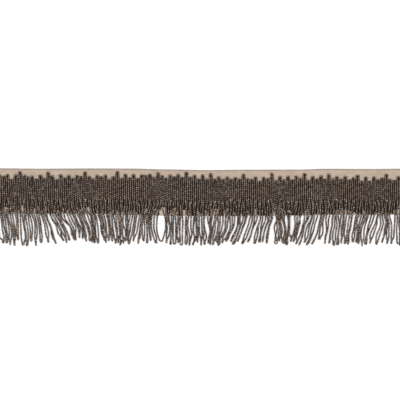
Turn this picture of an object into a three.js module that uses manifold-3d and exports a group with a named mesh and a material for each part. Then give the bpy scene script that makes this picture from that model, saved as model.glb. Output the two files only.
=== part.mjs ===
// Beaded loop fringe on a woven ribbon heading, lying flat, in millimetres.
// X runs along the trim, +Y towards the heading's upper edge, +Z up from the surface it lies on.
// "along" is a place on X. "drop" is a distance down from the ribbon's upper edge, towards the loops.

import * as THREE from 'three';
import { mergeVertices } from 'three/addons/utils/BufferGeometryUtils.js';
import Module from 'manifold-3d';

const trimLength = 305;
const ribbonThickness = 1;
const clearance = 0.3;

// The strip of ribbon along its upper edge that no tooth reaches.
const bareMargin = 2.2;

// One pair is one strung loop: two rows stitched down side by side, then two free legs.
const pairCount = 100;
const pairPitch = 3.046;
const rowPitch = pairPitch / 2;
const beadWidth = 1.3;
const rowHeight = 1.25;

// How far below the ribbon's upper edge a pair starts: tall, medium, low, or valley.
const toothDrop = { T: 2.5, M: 5.3, L: 6.6, v: 8.0 };
const toothChart =
  'MvMvMTMLMvMvTMvMvMvMvTLvMvMvLTvMvMvMvMvTLvMvMvTvMv' +
  'MvTvMvMvMvTLvMvMvTvMvMvMvTvMvMvTvMvMvMTvMvMvMTLvMv';
// A pair's rounded top: how far below its crown its two rows and its two shoulders start.
const crestDrop = 0.35;
const shoulderDrop = 1.3;
const valleyHeight = 0.45;
const seamHeight = 0.6;

// The last stitched course, one bead tall, from which the loops hang free.
const stitchDrop = 21.5;
const courseHeight = 1.2;
const courseLength = 304.7;

// A free leg is a three-sided strand with a flat base. Loops lie in two layers, one over the other.
const strandHeight = 1.2;
const layerStep = 1.6;
const legSpread = 1.65;
const rootDepth = 0.6;
const rootLift = 0.1;
const riseLength = 3.6;

// The legs leave the ribbon's lower edge, reach the surface, and bend once more on the way to the foot.
const overEdge = 0.8;
const floorRun = 3.6;
const bendDrop = 44.5;
const reachDrop = 58;

// The string of beads in one leg and its half of the foot, and how unevenly the loops were strung.
const freeLength = 35;
const lengthJitter = 1.2;

// The ribbon's two edges, and with them the slight bow in which the whole trim lies.
const ribbonEdges = [
  { along: -152.5, upper: 0.0, lower: 34.7 },
  { along: -120, upper: 0.3, lower: 34.7 },
  { along: -83, upper: 0.1, lower: 34.7 },
  { along: -53, upper: 0.2, lower: 35.5 },
  { along: -27, upper: 0.8, lower: 36.1 },
  { along: 3, upper: 1.35, lower: 36.5 },
  { along: 37, upper: 1.05, lower: 36.2 },
  { along: 75, upper: 0.95, lower: 36.0 },
  { along: 93, upper: 0.4, lower: 35.3 },
  { along: 127, upper: 0.55, lower: 35.4 },
  { along: 152.5, upper: 0.3, lower: 35.3 },
];

// How the loops lean, as millimetres along for each one down, near the ribbon's edge and far from it.
// They hang straight at first, and take up the near lean over the length given, then the far lean.
const leanStart = 26;
const leanLength = 9;
const farStart = 41.5;
const farLength = 6;
const leans = [
  { along: -150, near: 0.2, far: 0.2 },
  { along: -119, near: 0.3, far: 0.2 },
  { along: -113, near: 0.65, far: 0.3 },
  { along: -107, near: 0.8, far: 0.25 },
  { along: -101, near: 0.65, far: 0.05 },
  { along: -93, near: 0.45, far: 0.4 },
  { along: -86, near: 0.55, far: 0.5 },
  { along: -80, near: 0.1, far: 0.1 },
  { along: -69, near: 0.4, far: 0.2 },
  { along: -63, near: 0, far: 0 },
  { along: -49, near: -0.3, far: -0.5 },
  { along: -42, near: -0.05, far: -0.4 },
  { along: -36, near: 0, far: 0.3 },
  { along: -30, near: 0, far: 0 },
  { along: -24, near: 0, far: -0.3 },
  { along: -15, near: 0, far: 0 },
  { along: 16, near: -0.2, far: -0.2 },
  { along: 26, near: -0.35, far: -0.6 },
  { along: 34, near: -0.25, far: -0.6 },
  { along: 43, near: -0.1, far: -0.2 },
  { along: 68, near: -0.25, far: -0.25 },
  { along: 80, near: -0.4, far: -0.5 },
  { along: 91, near: -0.2, far: -0.2 },
  { along: 103, near: 0, far: 0.15 },
  { along: 115, near: -0.25, far: -0.25 },
  { along: 134, near: -0.25, far: -0.2 },
  { along: 152, near: -0.1, far: -0.1 },
];

// The wider partings between loops, each a line from its top to its foot and how far it stands open.
const partings = [
  { along: -137.0, drop: 35.0, toAlong: -135.1, toDrop: 51.1, open: 1.5 },
  { along: -129.1, drop: 38.4, toAlong: -128.0, toDrop: 51.1, open: 1.5 },
  { along: -119.4, drop: 36.9, toAlong: -115.6, toDrop: 54.1, open: 1.8 },
  { along: -114.5, drop: 34.6, toAlong: -108.5, toDrop: 54.1, open: 2.5 },
  { along: -108.5, drop: 38.4, toAlong: -104.7, toDrop: 51.1, open: 2.5 },
  { along: -99.9, drop: 34.6, toAlong: -92.7, toDrop: 54.9, open: 2.7 },
  { along: -86.7, drop: 35.0, toAlong: -80.7, toDrop: 48.1, open: 2.0 },
  { along: -78.9, drop: 34.6, toAlong: -77.7, toDrop: 45.9, open: 2.5 },
  { along: -66.5, drop: 34.6, toAlong: -65.7, toDrop: 46.6, open: 1.5 },
  { along: -59.7, drop: 34.6, toAlong: -60.1, toDrop: 43.6, open: 2.5 },
  { along: -45.1, drop: 36.1, toAlong: -47.4, toDrop: 55.6, open: 2.0 },
  { along: -18.1, drop: 35.4, toAlong: -18.9, toDrop: 54.1, open: 1.8 },
  { along: -11.7, drop: 35.4, toAlong: -11.4, toDrop: 48.9, open: 2.5 },
  { along: 5.1, drop: 35.4, toAlong: 5.1, toDrop: 46.6, open: 1.8 },
  { along: 17.9, drop: 35.4, toAlong: 16.0, toDrop: 44.4, open: 1.7 },
  { along: 26.1, drop: 36.1, toAlong: 22.0, toDrop: 54.9, open: 2.4 },
  { along: 35.1, drop: 35.4, toAlong: 31.8, toDrop: 52.6, open: 3.2 },
  { along: 43.2, drop: 35.4, toAlong: 42.0, toDrop: 51.9, open: 2.4 },
  { along: 54.3, drop: 34.6, toAlong: 52.4, toDrop: 43.6, open: 2.5 },
  { along: 64.4, drop: 36.1, toAlong: 62.1, toDrop: 50.4, open: 2.4 },
  { along: 74.1, drop: 36.9, toAlong: 71.5, toDrop: 52.6, open: 2.5 },
  { along: 80.5, drop: 38.4, toAlong: 76.8, toDrop: 52.6, open: 2.4 },
  { along: 88.8, drop: 35.4, toAlong: 87.3, toDrop: 54.1, open: 2.5 },
  { along: 97.0, drop: 36.1, toAlong: 95.1, toDrop: 51.1, open: 2.4 },
  { along: 107.7, drop: 34.6, toAlong: 106.8, toDrop: 45.1, open: 2.4 },
  { along: 114.6, drop: 34.6, toAlong: 113.1, toDrop: 48.9, open: 2.4 },
  { along: 125.0, drop: 35.4, toAlong: 124.4, toDrop: 45.1, open: 1.5 },
  { along: 132.4, drop: 37.1, toAlong: 130.4, toDrop: 56.4, open: 2.5 },
  { along: 143.5, drop: 36.1, toAlong: 141.3, toDrop: 54.9, open: 2.5 },
];
// How far to each side a parting pushes the loops, and the shares of its length where it is fully open,
// starts to close, and has closed to its last width.
const partingReach = 3.4;
const openShare = 0.4;
const closeShare = 0.9;
const closedShare = 1.4;
const lastWidth = 0.3;

// Loops that hang longer or shorter than the rest, by where their foot lies.
const uneven = [
  { along: -141.0, extra: 1.9 },
  { along: -132.9, extra: 2.0 },
  { along: -123.5, extra: 3.0 },
  { along: -105.0, extra: 1.3 },
  { along: -99.5, extra: -2.4 },
  { along: -90.5, extra: -2.2 },
  { along: -59.0, extra: 1.7 },
  { along: -45.1, extra: 1.1 },
  { along: -42.1, extra: -2.5 },
  { along: -9.7, extra: 1.5 },
  { along: 18.5, extra: 1.1 },
  { along: 32.5, extra: -2.5 },
  { along: 59.5, extra: -1.0 },
  { along: 76.0, extra: 2.5 },
  { along: 120.9, extra: 2.6 },
  { along: 128.7, extra: 1.9 },
  { along: 137.5, extra: -1.0 },
  { along: 147.5, extra: 2.3 },
];
const unevenReach = 2;

// The one loop whose legs lie wide open, as an oval: its spread from the ribbon's edge to its foot.
const openPair = 40;
const openSpreads = [3.5, 5.2, 5.2, 4];

// Smooth step from 0 to 1.
function ease(share) {
  const t = THREE.MathUtils.clamp(share, 0, 1);
  return t * t * (3 - 2 * t);
}

// Value of a table's column at a place along the trim, eased from row to row.
function readTable(table, along, column) {
  const next = table.findIndex((row) => row.along >= along);
  if (next < 0) return table[table.length - 1][column];
  if (next === 0) return table[0][column];
  const before = table[next - 1];
  const after = table[next];
  const share = ease((along - before.along) / (after.along - before.along));
  return THREE.MathUtils.lerp(before[column], after[column], share);
}

// Place on the trim's plan, following the bow of the ribbon's upper edge.
function onPlan(along, drop) {
  return { x: along, y: -drop - readTable(ribbonEdges, along, 'upper') };
}

// Width of the ribbon at one place.
function ribbonWidth(along) {
  return readTable(ribbonEdges, along, 'lower') - readTable(ribbonEdges, along, 'upper');
}

// Middle of a pair of rows, counted from the left.
function pairMiddle(pair) {
  return (pair - (pairCount - 1) / 2) * pairPitch;
}

// Repeatable unevenness between -0.5 and 0.5.
function jitter(number) {
  const wave = Math.sin(number * 127.1) * 43758.5453;
  return wave - Math.floor(wave) - 0.5;
}

function geometryFrom(points, triangles) {
  const geometry = new THREE.BufferGeometry();
  geometry.setAttribute('position', new THREE.Float32BufferAttribute(points.flat(), 3));
  geometry.setIndex(triangles.flat());
  return geometry;
}

// A slab with a modelled top: the given triangles on top, the same flat underneath, and walls all round.
function slabUnder(points, topTriangles) {
  const count = points.length;
  const base = points.map(([x, y]) => [x, y, 0]);
  const triangles = [];
  const edges = new Set();
  for (const [a, b, c] of topTriangles) {
    triangles.push([a, b, c], [c + count, b + count, a + count]);
    edges.add(`${a},${b}`).add(`${b},${c}`).add(`${c},${a}`);
  }
  for (const edge of edges) {
    const [a, b] = edge.split(',').map(Number);
    if (edges.has(`${b},${a}`)) continue;
    triangles.push([b, a, a + count], [b, a + count, b + count]);
  }
  return geometryFrom([...points, ...base], triangles);
}

// The ribbon: one flat sheet between its two uneven edges, cut square at both ends, its margin marked off.
function ribbonGeometry() {
  const steps = 36;
  const points = [];
  const triangles = [];
  for (let i = 0; i <= steps; i += 1) {
    const along = trimLength * (i / steps - 0.5);
    const upper = readTable(ribbonEdges, along, 'upper');
    const lower = readTable(ribbonEdges, along, 'lower');
    for (const fall of [upper, upper + bareMargin, lower]) {
      points.push([along, -fall, ribbonThickness]);
    }
  }
  for (let i = 0; i < steps; i += 1) {
    for (const a of [3 * i, 3 * i + 1]) {
      triangles.push([a, a + 1, a + 4], [a, a + 4, a + 3]);
    }
  }
  return slabUnder(points, triangles);
}

// Triangles between two lines of points that both run down the trim, the first on the left.
function stripBetween(left, right, dropOf) {
  const triangles = [];
  let i = 0;
  let j = 0;
  while (i < left.length - 1 || j < right.length - 1) {
    const nextLeft = i < left.length - 1 ? dropOf(left[i + 1]) : Infinity;
    const nextRight = j < right.length - 1 ? dropOf(right[j + 1]) : Infinity;
    if (nextLeft < nextRight) {
      triangles.push([left[i], left[i + 1], right[j]]);
      i += 1;
    } else {
      triangles.push([left[i], right[j + 1], right[j]]);
      j += 1;
    }
  }
  return triangles;
}

// The stitched beading: a ridge for every row, grooves between pairs, and rounded turns along the top.
function beadRowsGeometry() {
  const points = [];
  const drops = [];
  const known = new Map();
  const point = (along, drop, height) => {
    const key = `${along.toFixed(3)},${drop.toFixed(3)}`;
    if (!known.has(key)) {
      const place = onPlan(along, drop);
      known.set(key, points.length);
      points.push([place.x, place.y, height]);
      drops.push(drop);
    }
    return known.get(key);
  };
  const foot = stitchDrop - clearance;
  const topOf = (pair) => toothDrop[toothChart[THREE.MathUtils.clamp(pair, 0, pairCount - 1)]];
  const groove = (pair, side) => {
    const along = pairMiddle(pair + side / 2);
    const own = topOf(pair) + shoulderDrop;
    const other = topOf(pair + side) + shoulderDrop;
    const line = other > own ? [own, other, foot] : [own, foot];
    return line.map((drop) => point(along, drop, valleyHeight));
  };
  const triangles = [];
  for (let pair = 0; pair < pairCount; pair += 1) {
    const middle = pairMiddle(pair);
    const top = topOf(pair);
    const crown = point(middle, top, rowHeight);
    const seam = [crown, point(middle, top + shoulderDrop, seamHeight), point(middle, foot, seamHeight)];
    const ridge = (along) => [point(along, top + crestDrop, rowHeight), point(along, foot, rowHeight)];
    const ridges = [ridge(middle - rowPitch / 2), ridge(middle + rowPitch / 2)];
    const lines = [groove(pair, -1), ridges[0], seam, ridges[1], groove(pair, 1)];
    for (let i = 0; i < lines.length - 1; i += 1) {
      triangles.push(...stripBetween(lines[i], lines[i + 1], (index) => drops[index]));
    }
  }
  return slabUnder(points, triangles);
}

// The last stitched course: a narrow bar that follows the ribbon's bow.
function courseGeometry() {
  const steps = 24;
  const under = ribbonThickness + clearance;
  const over = under + strandHeight + 2 * rootLift;
  const points = [];
  const triangles = [];
  for (let i = 0; i <= steps; i += 1) {
    const along = courseLength * (i / steps - 0.5);
    const upper = onPlan(along, stitchDrop).y;
    const lower = onPlan(along, stitchDrop + courseHeight).y;
    points.push([along, lower, under], [along, upper, under]);
    points.push([along, upper, over], [along, lower, over]);
  }
  for (let i = 0; i < steps; i += 1) {
    for (let side = 0; side < 4; side += 1) {
      const a = 4 * i + side;
      const b = 4 * i + ((side + 1) % 4);
      triangles.push([a, b, b + 4], [a, b + 4, a + 4]);
    }
  }
  const last = 4 * steps;
  triangles.push([0, 3, 2], [0, 2, 1], [last, last + 1, last + 2], [last, last + 2, last + 3]);
  return geometryFrom(points, triangles);
}

// How much a loop leans at one place.
function leanAt(along, drop) {
  const near = readTable(leans, along, 'near');
  const far = readTable(leans, along, 'far');
  const past = ease((drop - farStart) / farLength);
  return ease((drop - leanStart) / leanLength) * THREE.MathUtils.lerp(near, far, past);
}

// How far a parting pushes a loop that lies at one place, towards the side where the loop passes its top.
function partingPush(parting, along, drop, side) {
  const share = (drop - parting.drop) / (parting.toDrop - parting.drop);
  const line = THREE.MathUtils.lerp(parting.along, parting.toAlong, share);
  const closing = ease((share - closeShare) / (closedShare - closeShare));
  const width = parting.open * ease(share / openShare) * THREE.MathUtils.lerp(1, lastWidth, closing);
  return side * (width / 2) * Math.exp(-Math.abs(along - line) / partingReach);
}

// Where a loop rooted at one place lies at a drop: it follows the lean, and gives way at each parting.
function laneAt(root, drop) {
  const step = 1;
  const sides = new Map();
  let along = root;
  for (let at = stitchDrop; at < drop; at += step) {
    along += leanAt(along, at) * Math.min(step, drop - at);
    for (const parting of partings) {
      if (sides.has(parting) || at + step < parting.drop) continue;
      sides.set(parting, Math.sign(along - parting.along));
    }
  }
  let shift = 0;
  for (const [parting, side] of sides) {
    shift += partingPush(parting, along, drop, side);
  }
  return along + shift;
}

// Height of a strand's base: over the ribbon, down its edge, then on the surface or on the layer below.
function baseHeight(along, drop, layer) {
  const edge = ribbonWidth(along) + overEdge;
  const overRibbon = ribbonThickness + clearance + rootLift;
  const down = THREE.MathUtils.clamp((drop - edge) / floorRun, 0, 1);
  const rise = THREE.MathUtils.clamp((drop - stitchDrop - courseHeight) / riseLength, 0, 1);
  return overRibbon * (1 - down) + layer * layerStep * rise;
}

// Length of the string of beads from the last stitched course to the middle of a loop's foot.
function freeLengthOf(pair, along) {
  let length = freeLength + lengthJitter * jitter(pair + 1);
  for (const row of uneven) {
    length += row.extra * Math.exp(-(((along - row.along) / unevenReach) ** 2));
  }
  return length;
}

// Centre line of each loop at common drops, kept clear of the loop before it in the same layer.
function loopLines() {
  const lines = [];
  for (let pair = 0; pair < pairCount; pair += 1) {
    const root = pairMiddle(pair);
    const edge = ribbonWidth(root) + overEdge;
    const start = stitchDrop + courseHeight;
    const drops = [start - rootDepth, start + riseLength, edge, edge + floorRun, bendDrop, reachDrop];
    const alongs = drops.map((drop) => laneAt(root, drop));
    const spreads = drops.map(() => legSpread);
    if (pair === openPair) spreads.splice(2, openSpreads.length, ...openSpreads);
    const before = lines[pair - 2];
    for (let i = 0; before && i < drops.length; i += 1) {
      const from = Math.max(1, i) - 1;
      const slope = (alongs[from + 1] - alongs[from]) / (drops[from + 1] - drops[from]);
      const room = ((spreads[i] + before.spreads[i]) / 2 + beadWidth + clearance) * Math.hypot(1, slope);
      alongs[i] = Math.max(alongs[i], before.alongs[i] + room);
    }
    lines.push({ pair, layer: pair % 2, drops, alongs, spreads });
  }
  return lines;
}

// Ends a loop's centre line where its string of beads is used up, short of the round foot.
function cutToLength({ pair, drops, alongs, spreads }) {
  const last = drops.length - 1;
  const runAt = (i) => Math.hypot(drops[i] - drops[i - 1], alongs[i] - alongs[i - 1]);
  let left = freeLengthOf(pair, alongs[last - 1]) - spreads[last] / 2;
  for (let i = 1; i < last; i += 1) {
    left -= runAt(i);
  }
  const share = left / runAt(last);
  drops[last] = THREE.MathUtils.lerp(drops[last - 1], drops[last], share);
  alongs[last] = THREE.MathUtils.lerp(alongs[last - 1], alongs[last], share);
}

// One loop: a three-sided strand down one leg, round the foot and up the other leg.
function loopGeometry({ layer, drops, alongs, spreads }) {
  const plan = drops.map((drop, i) => new THREE.Vector2(alongs[i], onPlan(alongs[i], drop).y));
  const runs = plan.slice(1).map((point, i) => point.clone().sub(plan[i]).normalize());
  const across = (run) => new THREE.Vector2(-run.y, run.x);
  const normals = plan.map((point, i) => {
    if (i === 0) return new THREE.Vector2(1, 0);
    if (i === runs.length) return across(runs[i - 1]);
    const middle = across(runs[i - 1]).add(across(runs[i])).normalize();
    return middle.multiplyScalar(1 / middle.dot(across(runs[i])));
  });
  const corner = (centre, outward, reach, lift) => {
    const place = outward.clone().multiplyScalar(reach).add(centre);
    const upper = readTable(ribbonEdges, place.x, 'upper');
    return [place.x, place.y, baseHeight(place.x, -place.y - upper, layer) + lift];
  };
  const section = (i, outward) => {
    const reach = spreads[i] / 2;
    const outer = corner(plan[i], outward, reach + beadWidth / 2, 0);
    const inner = corner(plan[i], outward, reach - beadWidth / 2, 0);
    return [outer, inner, corner(plan[i], outward, reach, strandHeight)];
  };
  const end = plan.length - 1;
  const footTurn = (turn) => {
    const outward = normals[end].clone().multiplyScalar(-Math.cos(turn));
    return section(end, outward.addScaledVector(runs[end - 1], Math.sin(turn)));
  };
  const leftLeg = normals.map((normal, i) => section(i, normal.clone().negate()));
  const rightLeg = normals.map((normal, i) => section(i, normal));
  const foot = [footTurn(Math.PI / 3), footTurn((2 * Math.PI) / 3)];
  const sections = [...leftLeg, ...foot, ...rightLeg.reverse()];
  const triangles = [[0, 2, 1]];
  for (let i = 0; i < sections.length - 1; i += 1) {
    for (let side = 0; side < 3; side += 1) {
      const a = 3 * i + side;
      const b = 3 * i + ((side + 1) % 3);
      triangles.push([a, b, b + 3], [a, b + 3, a + 3]);
    }
  }
  const last = 3 * (sections.length - 1);
  triangles.push([last, last + 1, last + 2]);
  return geometryFrom(sections.flat(), triangles);
}

// The free loops, fused at their roots into the last stitched course.
async function loopFringeGeometry() {
  const wasm = await Module();
  wasm.setup();
  const solidFrom = (geometry) => {
    geometry.deleteAttribute('normal');
    geometry.deleteAttribute('uv');
    const merged = mergeVertices(geometry, 1e-4);
    const vertProperties = new Float32Array(merged.attributes.position.array);
    const triVerts = new Uint32Array(merged.index.array);
    return new wasm.Manifold(new wasm.Mesh({ numProp: 3, vertProperties, triVerts }));
  };
  let fringe = solidFrom(courseGeometry());
  for (const line of loopLines()) {
    cutToLength(line);
    fringe = fringe.add(solidFrom(loopGeometry(line)));
  }
  const mesh = fringe.getMesh();
  const geometry = new THREE.BufferGeometry();
  geometry.setAttribute('position', new THREE.Float32BufferAttribute(mesh.vertProperties, 3));
  geometry.setIndex(Array.from(mesh.triVerts));
  return geometry;
}

function namedMesh(name, geometry, material) {
  const mesh = new THREE.Mesh(geometry, material);
  mesh.name = name;
  return mesh;
}

const tanWeave = new THREE.MeshStandardMaterial({ color: 0xbea893, roughness: 0.85, metalness: 0 });
const darkBeads = new THREE.MeshStandardMaterial({ color: 0x51463f, roughness: 0.35, metalness: 0.6 });
const looseBeads = new THREE.MeshStandardMaterial({ color: 0x5a4e46, roughness: 0.35, metalness: 0.6 });

const trim = new THREE.Group();
trim.add(namedMesh('ribbon', ribbonGeometry(), tanWeave));
const rows = namedMesh('bead_rows', beadRowsGeometry(), darkBeads);
rows.position.z = ribbonThickness + clearance;
trim.add(rows);
trim.add(namedMesh('loop_fringe', await loopFringeGeometry(), looseBeads));

// The trim's origin is the middle of its outline, on the surface.
const outline = new THREE.Box3().setFromObject(trim);
const middle = outline.getCenter(new THREE.Vector3());
trim.position.set(-middle.x, -middle.y, -outline.min.z);

export default trim;
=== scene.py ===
"""Beaded loop fringe on a woven ribbon heading, lying flat: its looks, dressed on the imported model.

Lengths are worked out in millimetres on the trim's own plan and turned into metres when a mesh is made.
"along" is a place on X. "drop" is a distance down from the ribbon's upper edge, towards the loops.
"""

import math
from collections import namedtuple

import bpy
import numpy as np
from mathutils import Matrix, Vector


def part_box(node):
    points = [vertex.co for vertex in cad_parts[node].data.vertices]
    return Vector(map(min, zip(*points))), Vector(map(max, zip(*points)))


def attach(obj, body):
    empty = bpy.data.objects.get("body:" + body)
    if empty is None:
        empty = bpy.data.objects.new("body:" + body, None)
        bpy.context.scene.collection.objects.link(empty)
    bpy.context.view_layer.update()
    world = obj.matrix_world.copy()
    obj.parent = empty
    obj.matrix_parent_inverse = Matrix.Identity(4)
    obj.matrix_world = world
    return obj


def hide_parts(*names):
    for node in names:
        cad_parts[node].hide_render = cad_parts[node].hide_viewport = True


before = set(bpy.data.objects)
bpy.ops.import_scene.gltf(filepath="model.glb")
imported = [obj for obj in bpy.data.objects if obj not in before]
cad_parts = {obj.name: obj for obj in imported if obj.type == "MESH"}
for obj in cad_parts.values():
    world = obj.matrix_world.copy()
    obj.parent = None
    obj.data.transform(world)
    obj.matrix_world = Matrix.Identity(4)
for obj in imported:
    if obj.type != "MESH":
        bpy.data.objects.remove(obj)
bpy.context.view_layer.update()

MM = 0.001
RANDOM = np.random.RandomState(41)

# The trim's own plan, in millimetres, as in the part's source.
TRIM_LENGTH = 305.0
RIBBON_WIDTH = 35
RIBBON_THICKNESS = 1.0
PAIR_COUNT = 100
PAIR_PITCH = 3.046
ROW_PITCH = PAIR_PITCH / 2
STITCH_DROP = 21.5

# The seen ribbon's lower edge lies this far above the solid's.
RIBBON_TRIM = 0.85

# The string of beads in one free leg and its half of the foot, and how unevenly the loops were strung.
FREE_LENGTH = 34.3
LENGTH_JITTER = 0.9

# The drops at which a loop's legs are worked out, from the last stitched course to below the longest loop.
DROP_STEP = 0.5
LOWEST_DROP = 62
DROPS = np.arange(STITCH_DROP, LOWEST_DROP, DROP_STEP)

# Turn and share that step from pair to pair without falling in line.
GOLDEN_ANGLE = math.pi * (3 - math.sqrt(5))
GOLDEN_SHARE = (math.sqrt(5) - 1) / 2

# Just below the last stitched course a pair's two rows are drawn a little together.
DRAWN_HALF = 0.54
DRAWN_LENGTH = 2.5

# Free legs lie side by side or one over the other, and change between the two on their way down: half their
# distance where one lies over the other, the length of a change and back, its random start, how sudden it is.
CLOSED_HALF = 0.02
TURN_LENGTHS = (34, 64)
TURN_JITTER = 0.12
TURN_SHARPNESS = 2.2

# The room beside a loop keeps the strands even, so a loop slides a little as its neighbours open and close.
LOOP_ROOM = 1.75
SLIDE_WINDOW = 9

# The room between neighbours is then evened out in small steps. More than the full room counts as full.
FULL_ROOM = 2.2
EVENING_ROUNDS = 40
EVENING_STEP = 0.25

# A loop and each of its legs wave a little on their way down, and some legs stray across their neighbours.
LOOP_WAVE = 0.12
LOOP_WAVE_LENGTH = 24
LOOP_OVERTONE = 0.5
LEG_WAVE = 0.16
LEG_WAVE_LENGTHS = (16, 30)
LEG_OVERTONE = 0.35
OVERTONE_PITCH = 2.3
STRAY_REACH = (0.9, 2.4)
STRAY_START = (28, 36)
STRAY_LENGTH = (7, 12)

# How far down the crowns of the strung pairs lie: tall, middle and low teeth, and valleys between them.
# On one side of a tall or middle tooth, drawn at random, a valley rises by up to the flank's rise.
TOOTH_DROP = {"T": 2.1, "M": 4.3, "L": 5.55, "v": 7.0}
TOOTH_JITTER = 0.32
FLANK_RISE = 1.4
TOOTH_CHART = (
    "MvMvMTMLMvMvTMvMvMvMvTLvMvMvLTvMvMvMvMvTLvMvMvTvMv"
    "MvTvMvMvMvTLvMvMvTvMvMvMvTvMvMvTvMvMvMTvMvMvMTLvMv"
)

# The thread's turn at a crown lies a little inside the tooth's outline, and swells beside the crown.
# Below it the rows are worked out in steps, down to just above the last stitched course.
CROWN_INSET = 0.7
CROWN_HEIGHT = 0.5
CROWN_BULGE = 0.28
BULGE_LENGTH = 2.5
CROWN_POINTS = 9
ROW_STEP = 0.5
ROW_END_GAP = 0.2

# A loop's legs come together a little above its foot, into a narrow foot or, for the rest, a round one.
CLOSED_ABOVE_FOOT = (0.2, 1.5)
CLOSING_LENGTH = (2.5, 5)
NARROW_SHARE = 0.55
NARROW_FOOT_HALF = (0.1, 0.3)
ROUND_FOOT_HALF = (0.45, 0.75)

# Half of a foot takes this much of the string. A foot is nearly as deep as half its width, and at least the
# least depth. It leans as the loop's last steps do, and starts at the lowest foot's drop or above it.
FOOT_STRING = 1.2
FOOT_DEPTH = 0.95
LEAST_FOOT_DEPTH = 0.7
FOOT_POINTS = 9
LEAN_STEPS = 4
LOWEST_FOOT = 60

# Beads: their width, their spacing along the thread, what share of it they fill, and how they differ.
BEAD_WIDTH = 1.23
BEAD_PITCH = 1.37
BEAD_FILL = 0.96
BEAD_SIZE_SPREAD = 0.03
BEAD_SIZE_LIMIT = 0.12
BEAD_LENGTH_SPREAD = 0.03
BEAD_LENGTH_LIMITS = (-0.08, 0.03)
BEAD_TILT = 0.04
BEAD_LIFT = 0.02

# A bead's profile: share of its length from its middle, share of its radius.
BEAD_RINGS = [(-0.5, 0.42), (-0.43, 0.87), (-0.29, 0.985), (0.29, 0.985), (0.43, 0.87), (0.5, 0.42)]
BEAD_SIDES = 8

# How free legs settle on each other: how near two beads come, how far a string falls from bead to bead,
# how far it is lifted at most, and how far below the last stitched course the lifting starts.
CONTACT = BEAD_WIDTH * 0.93
MOST_FALL = 0.62
MOST_LIFT = 2.6
LIFT_START = 1.2

# Beads further off than this, aside and above, are left out when a leg settles. The last beads at both ends
# of a leg carry no other.
NEARBY = 30
NEARBY_ABOVE = 1
LEG_END_BEADS = 2

# Strands leave the ribbon this far past its lower edge.
EDGE_OVERHANG = 0.2

THREAD_WIDTH = 0.22
THREAD_SIDES = 4

# The dark stitching is partly real thread and partly painted shade: its near-black threads cover the ribbon
# in the shaded gaps between the rows. Its threads start below the crowns, lower beside the middle of a pair,
# and end at the ribbon's lower edge. A few end well short of it: the higher the rarity, the fewer.
STITCHES_PER_ROW = 3
STITCH_WIDTH = 0.62
STITCH_HEIGHT = 0.3
STITCH_LIFT = 0.06
STITCH_STEP = 1.5
FEWEST_POINTS = 3
STITCH_JITTER = 0.04
STITCH_BELOW_CROWN = 0.8
STITCH_BELOW_BESIDE = 2.0
STITCH_SHORT = 6.5
STITCH_SHORT_RARITY = 4

# Where the bare ribbon shows, stitching is left out as far to each side as this margin and this share of the
# opening's width. The ends there are uneven, and very short stretches are left out too.
BARE_MARGIN = 0.25
BARE_SHARE = 0.6
STITCH_END_JITTER = (-0.3, 0.5)
SHORTEST_STITCH = 1

# Where the plan lies in the row frame.
RIBBON_LOW, RIBBON_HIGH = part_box("ribbon")
PLAN_X = (RIBBON_LOW[0] + RIBBON_HIGH[0]) / 2 / MM
PLAN_TOP = RIBBON_HIGH[1] / MM

# Drops of the ribbon's upper and lower edge.
Edge = namedtuple("Edge", "along upper lower")
RIBBON_EDGES = [
    Edge(-152.5, 0.0, 34.7),
    Edge(-120, 0.3, 34.7),
    Edge(-83, 0.1, 34.7),
    Edge(-53, 0.2, 35.5),
    Edge(-27, 0.8, 36.1),
    Edge(3, 1.35, 36.5),
    Edge(37, 1.05, 36.2),
    Edge(75, 0.95, 36.0),
    Edge(93, 0.4, 35.3),
    Edge(127, 0.55, 35.4),
    Edge(152.5, 0.3, 35.3),
]

# Where the whole line of crowns lies a little lower or, below zero, higher on the ribbon.
CrownLine = namedtuple("CrownLine", "along lower")
CROWN_LINE = [
    CrownLine(-150, 0.05),
    CrownLine(-83, 0.05),
    CrownLine(-70, -0.3),
    CrownLine(-45, -0.35),
    CrownLine(-24, -1.1),
    CrownLine(-11, -1.7),
    CrownLine(2, -1.1),
    CrownLine(14, 0.05),
    CrownLine(38, 0.55),
    CrownLine(70, 0.1),
    CrownLine(87, 0.4),
    CrownLine(99, 1.0),
    CrownLine(150, 1.3),
]

# How far the stitched rows lie aside of even spacing, and how far they swing from side to side.
RowDrift = namedtuple("RowDrift", "along aside swing")
ROW_DRIFT = [
    RowDrift(-150, 0.1, 0.35),
    RowDrift(-97, 0.15, 0.3),
    RowDrift(-84, 0.15, 0.08),
    RowDrift(-50, 0.0, 0.04),
    RowDrift(20, 0.0, 0.04),
    RowDrift(61, 0.07, 0.06),
    RowDrift(97, 0.2, 0.08),
    RowDrift(126, 0.46, 0.08),
    RowDrift(150, 0.4, 0.08),
]

# Waves in which the stitched rows swing, and the free loops bunch and spread: length along, length down, and
# how far they carry a row or a loop.
Wave = namedtuple("Wave", "along down reach")
ROW_WAVES = [Wave(15, 26, 0.6), Wave(9.5, -17, 0.4)]
LOOP_WAVES = [Wave(19, 60, 0.2), Wave(12.5, 45, 0.15), Wave(8.3, 36, 0.1)]
LOOP_WAVE_PHASES = RANDOM.uniform(0, 2 * math.pi, len(LOOP_WAVES))

# The free legs come loose at this drop, over this length.
LOOSE_START = 23.2
LOOSE_LENGTH = 6.5

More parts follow.
